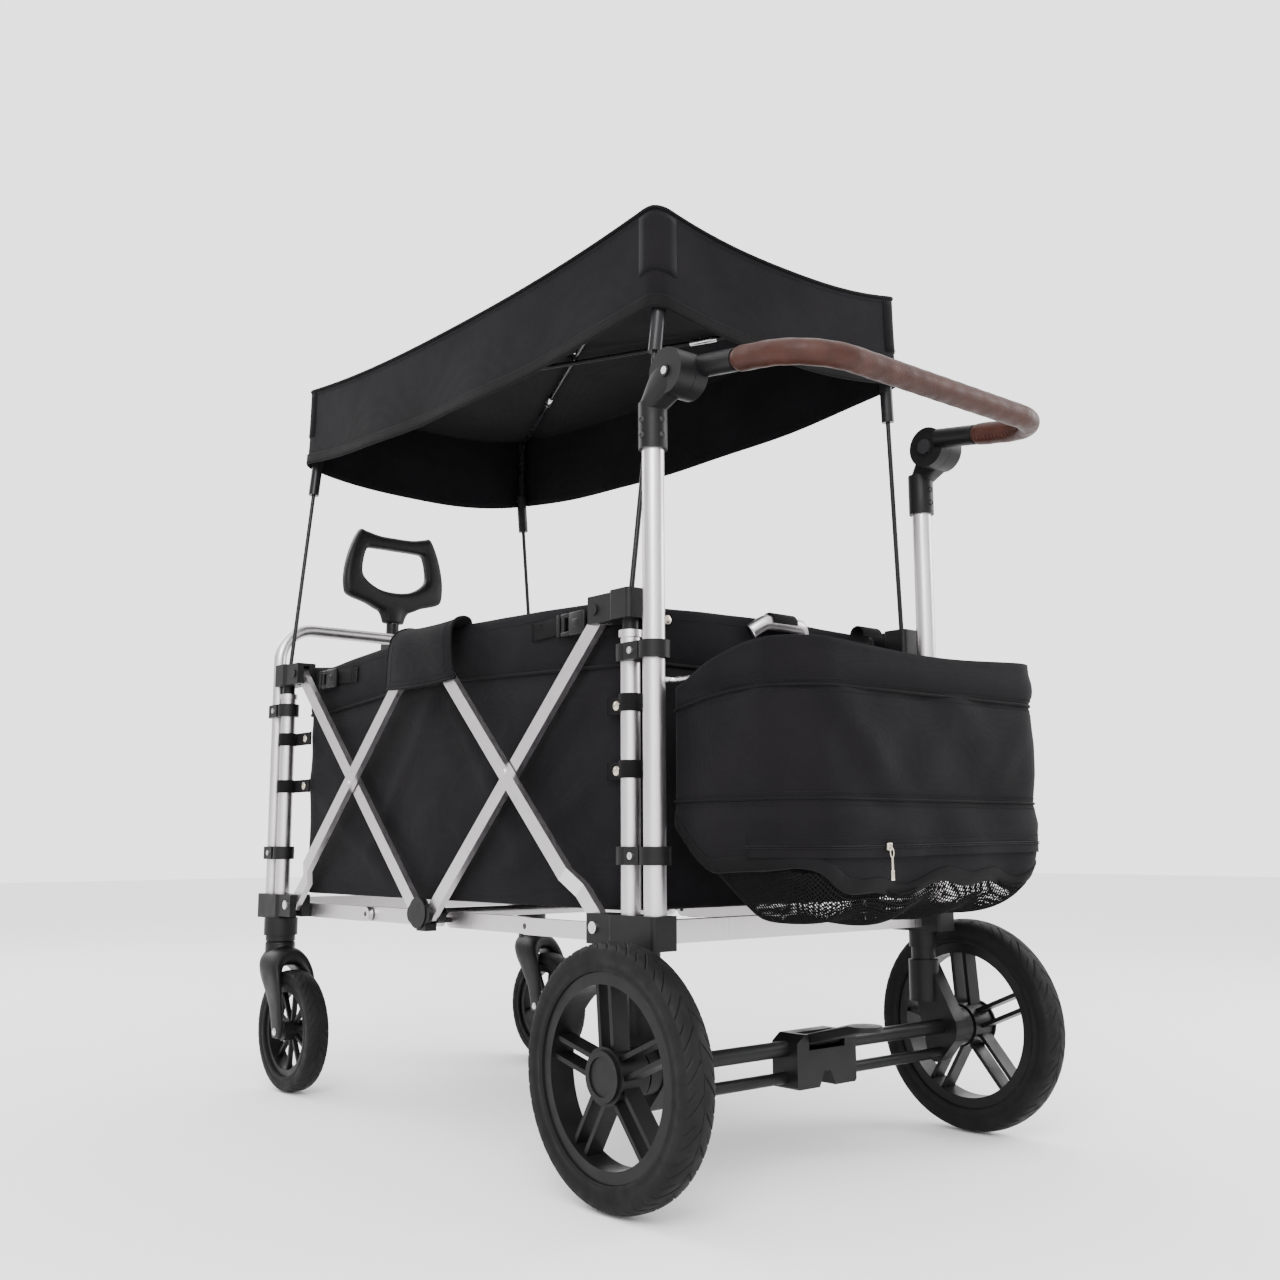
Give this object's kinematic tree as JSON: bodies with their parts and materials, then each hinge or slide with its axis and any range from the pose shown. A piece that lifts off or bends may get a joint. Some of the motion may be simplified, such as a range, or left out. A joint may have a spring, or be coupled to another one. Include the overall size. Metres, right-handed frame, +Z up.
{
  "type": "pull wagon",
  "caption": "Folding pull wagon for children with canopy, fabric tub, scissor side frames, tilting push handle, pull handle, rear bag, foot brake and swivel front casters",
  "frame": {"origin": "on the floor below the middle of the wagon's box", "axes": "+Z up, +Y forward to the pull handle, +X to the wagon's right"},
  "size_m": [0.712, 1.382, 1.251],
  "materials": {
    "tube": "satin anodised",
    "black_plastic": "moulded, fine grain",
    "steel": "zinc plated",
    "dark_metal": "black powder coat",
    "tyre": "moulded tread",
    "leather": "grained, stitched",
    "fabric": "plain woven polyester",
    "button": "satin",
    "pole": "thin fibreglass"
  },
  "bodies": {
    "root": {"rear_posts": "tube", "rear_bottom_rail": "tube", "rear_bottom_blocks": "black_plastic", "push_handle_tubes": "tube", "rear_clamps": "black_plastic", "rear_bolts": "steel", "rear_wheel_brackets": "black_plastic", "brake_bars": "dark_metal", "brake_housing": "black_plastic", "handle_joint_sleeves": "black_plastic", "rear_bearings": "steel", "tub": "fabric", "rear_bag": "fabric", "bag_frame": "tube"},
    "outer_rear": {"outer_bars_rear": "tube"},
    "centre_top": {"centre_pivots": "black_plastic"},
    "outer_front": {"outer_bars_front": "tube"},
    "front_frame": {"front_posts": "tube", "front_bottom_rail": "tube", "front_bottom_blocks": "black_plastic", "front_clamps": "black_plastic", "front_bolts": "steel", "front_bumper": "tube", "pole_clip": "black_plastic"},
    "inner_rear": {"inner_bars_rear": "tube"},
    "rear_top": {"rear_top_blocks": "black_plastic", "rear_inner_posts": "dark_metal", "rear_canopy_poles": "pole", "roof_rods": "steel", "canopy": "fabric"},
    "hub": {"side_hubs": "black_plastic", "hub_cross_tube": "tube"},
    "inner_front": {"inner_bars_front": "tube"},
    "front_top": {"front_top_blocks": "black_plastic", "front_inner_posts": "dark_metal", "front_canopy_poles": "pole"},
    "rail_rear": {"bottom_rails_rear": "tube"},
    "rail_front": {"bottom_rails_front": "tube"},
    "hub_rail_rear": {"hub_rails_rear": "tube"},
    "hub_rail_front": {"hub_rails_front": "tube"},
    "push_handle": {"handle_arms": "black_plastic", "handle_bow": "steel", "grip_cover": "leather"},
    "button_left": {"handle_button_left": "button"},
    "button_right": {"handle_button_right": "button"},
    "wheel_rear_left": {"rear_rim_left": "black_plastic", "rear_tyre_left": "tyre", "rear_hub_cap_left": "black_plastic"},
    "wheel_rear_right": {"rear_rim_right": "black_plastic", "rear_tyre_right": "tyre", "rear_hub_cap_right": "black_plastic"},
    "brake": {"brake_pedal": "black_plastic"},
    "caster_left": {"caster_fork_left": "black_plastic"},
    "caster_right": {"caster_fork_right": "black_plastic"},
    "wheel_front_left": {"front_rim_left": "black_plastic", "front_tyre_left": "tyre"},
    "wheel_front_right": {"front_rim_right": "black_plastic", "front_tyre_right": "tyre"},
    "pole": {"pull_pole": "dark_metal"},
    "pole_slide": {"pull_handle": "black_plastic"}
  },
  "joints": [
    {"name": "fold", "type": "hinge", "parent": "root", "child": "outer_rear", "pos_m": [0, -0.333, 0.309], "axis": [1, 0, 0], "range_deg": [0, 35], "deforming": ["tub", "canopy", "roof_rods"]},
    {"name": "fold_centre_rear", "type": "hinge", "parent": "outer_rear", "child": "centre_top", "pos_m": [0, 0.074, 0.709], "axis": [1, 0, 0], "range_deg": [-35, 0]},
    {"name": "fold_centre_front", "type": "hinge", "parent": "centre_top", "child": "outer_front", "pos_m": [0, 0.11, 0.709], "axis": [1, 0, 0], "range_deg": [-35, 0]},
    {"name": "fold_front_corner", "type": "hinge", "parent": "outer_front", "child": "front_frame", "pos_m": [0, 0.517, 0.309], "axis": [1, 0, 0], "range_deg": [0, 35]},
    {"name": "fold_cross_rear", "type": "hinge", "parent": "outer_rear", "child": "inner_rear", "pos_m": [0, -0.1295, 0.509], "axis": [1, 0, 0], "range_deg": [-70, 0]},
    {"name": "fold_top_rear", "type": "hinge", "parent": "inner_rear", "child": "rear_top", "pos_m": [0, -0.333, 0.709], "axis": [1, 0, 0], "range_deg": [0, 35]},
    {"name": "fold_hub", "type": "hinge", "parent": "inner_rear", "child": "hub", "pos_m": [0, 0.074, 0.309], "axis": [1, 0, 0], "range_deg": [0, 35]},
    {"name": "fold_cross_front", "type": "hinge", "parent": "outer_front", "child": "inner_front", "pos_m": [0, 0.3135, 0.509], "axis": [1, 0, 0], "range_deg": [0, 70]},
    {"name": "fold_top_front", "type": "hinge", "parent": "inner_front", "child": "front_top", "pos_m": [0, 0.517, 0.709], "axis": [1, 0, 0], "range_deg": [-35, 0]},
    {"name": "fold_rail_rear", "type": "hinge", "parent": "root", "child": "rail_rear", "pos_m": [0, -0.333, 0.3], "axis": [1, 0, 0], "range_deg": [0, 75.11]},
    {"name": "fold_rail_front", "type": "hinge", "parent": "front_frame", "child": "rail_front", "pos_m": [0, 0.517, 0.3], "axis": [1, 0, 0], "range_deg": [-75.11, 0]},
    {"name": "fold_hub_rail_rear", "type": "hinge", "parent": "hub", "child": "hub_rail_rear", "pos_m": [0, 0.074, 0.3], "axis": [1, 0, 0], "range_deg": [-75.11, 0]},
    {"name": "fold_hub_rail_front", "type": "hinge", "parent": "hub", "child": "hub_rail_front", "pos_m": [0, 0.11, 0.3], "axis": [1, 0, 0], "range_deg": [0, 75.11]},
    {"name": "push_handle_tilt", "type": "hinge", "parent": "root", "child": "push_handle", "pos_m": [0, -0.468, 0.993], "axis": [-1, 0, 0], "range_deg": [-65, 80]},
    {"name": "button_left_press", "type": "slide", "parent": "push_handle", "child": "button_left", "axis": [-1, 0, 0], "range_m": [0, 0.004], "stiffness_N_per_m": 400},
    {"name": "button_right_press", "type": "slide", "parent": "push_handle", "child": "button_right", "axis": [1, 0, 0], "range_m": [0, 0.004], "stiffness_N_per_m": 400},
    {"name": "rear_left_spin", "type": "hinge", "parent": "root", "child": "wheel_rear_left", "pos_m": [-0.334, -0.435, 0.15], "axis": [1, 0, 0], "continuous": true},
    {"name": "rear_right_spin", "type": "hinge", "parent": "root", "child": "wheel_rear_right", "pos_m": [0.334, -0.435, 0.15], "axis": [1, 0, 0], "continuous": true},
    {"name": "brake_press", "type": "hinge", "parent": "root", "child": "brake", "pos_m": [0, -0.443, 0.16], "axis": [1, 0, 0], "range_deg": [0, 15]},
    {"name": "caster_left_swivel", "type": "hinge", "parent": "front_frame", "child": "caster_left", "pos_m": [-0.269, 0.569, 0.232], "axis": [0, 0, 1], "continuous": true},
    {"name": "caster_right_swivel", "type": "hinge", "parent": "front_frame", "child": "caster_right", "pos_m": [0.269, 0.569, 0.232], "axis": [0, 0, 1], "continuous": true},
    {"name": "front_left_spin", "type": "hinge", "parent": "caster_left", "child": "wheel_front_left", "pos_m": [-0.269, 0.511, 0.1], "axis": [1, 0, 0], "continuous": true},
    {"name": "front_right_spin", "type": "hinge", "parent": "caster_right", "child": "wheel_front_right", "pos_m": [0.269, 0.511, 0.1], "axis": [1, 0, 0], "continuous": true},
    {"name": "pull_pole_tilt", "type": "hinge", "parent": "front_frame", "child": "pole", "pos_m": [0, 0.677, 0.304], "axis": [-1, 0, 0], "range_deg": [0, 75]},
    {"name": "pull_handle_slide", "type": "slide", "parent": "pole", "child": "pole_slide", "axis": [0, 0, 1], "range_m": [0, 0.22]}
  ],
  "couplings": [
    {"joint": "fold_centre_rear", "follows": "fold", "ratio": -1},
    {"joint": "fold_centre_front", "follows": "fold", "ratio": -1},
    {"joint": "fold_front_corner", "follows": "fold", "ratio": 1},
    {"joint": "fold_cross_rear", "follows": "fold", "ratio": -2},
    {"joint": "fold_top_rear", "follows": "fold", "ratio": 1},
    {"joint": "fold_hub", "follows": "fold", "ratio": 1},
    {"joint": "fold_cross_front", "follows": "fold", "ratio": 2},
    {"joint": "fold_top_front", "follows": "fold", "ratio": -1},
    {"joint": "fold_rail_rear", "follows": "fold", "ratio": 2.146},
    {"joint": "fold_rail_front", "follows": "fold", "ratio": -2.146},
    {"joint": "fold_hub_rail_rear", "follows": "fold", "ratio": -2.146},
    {"joint": "fold_hub_rail_front", "follows": "fold", "ratio": 2.146}
  ]
}
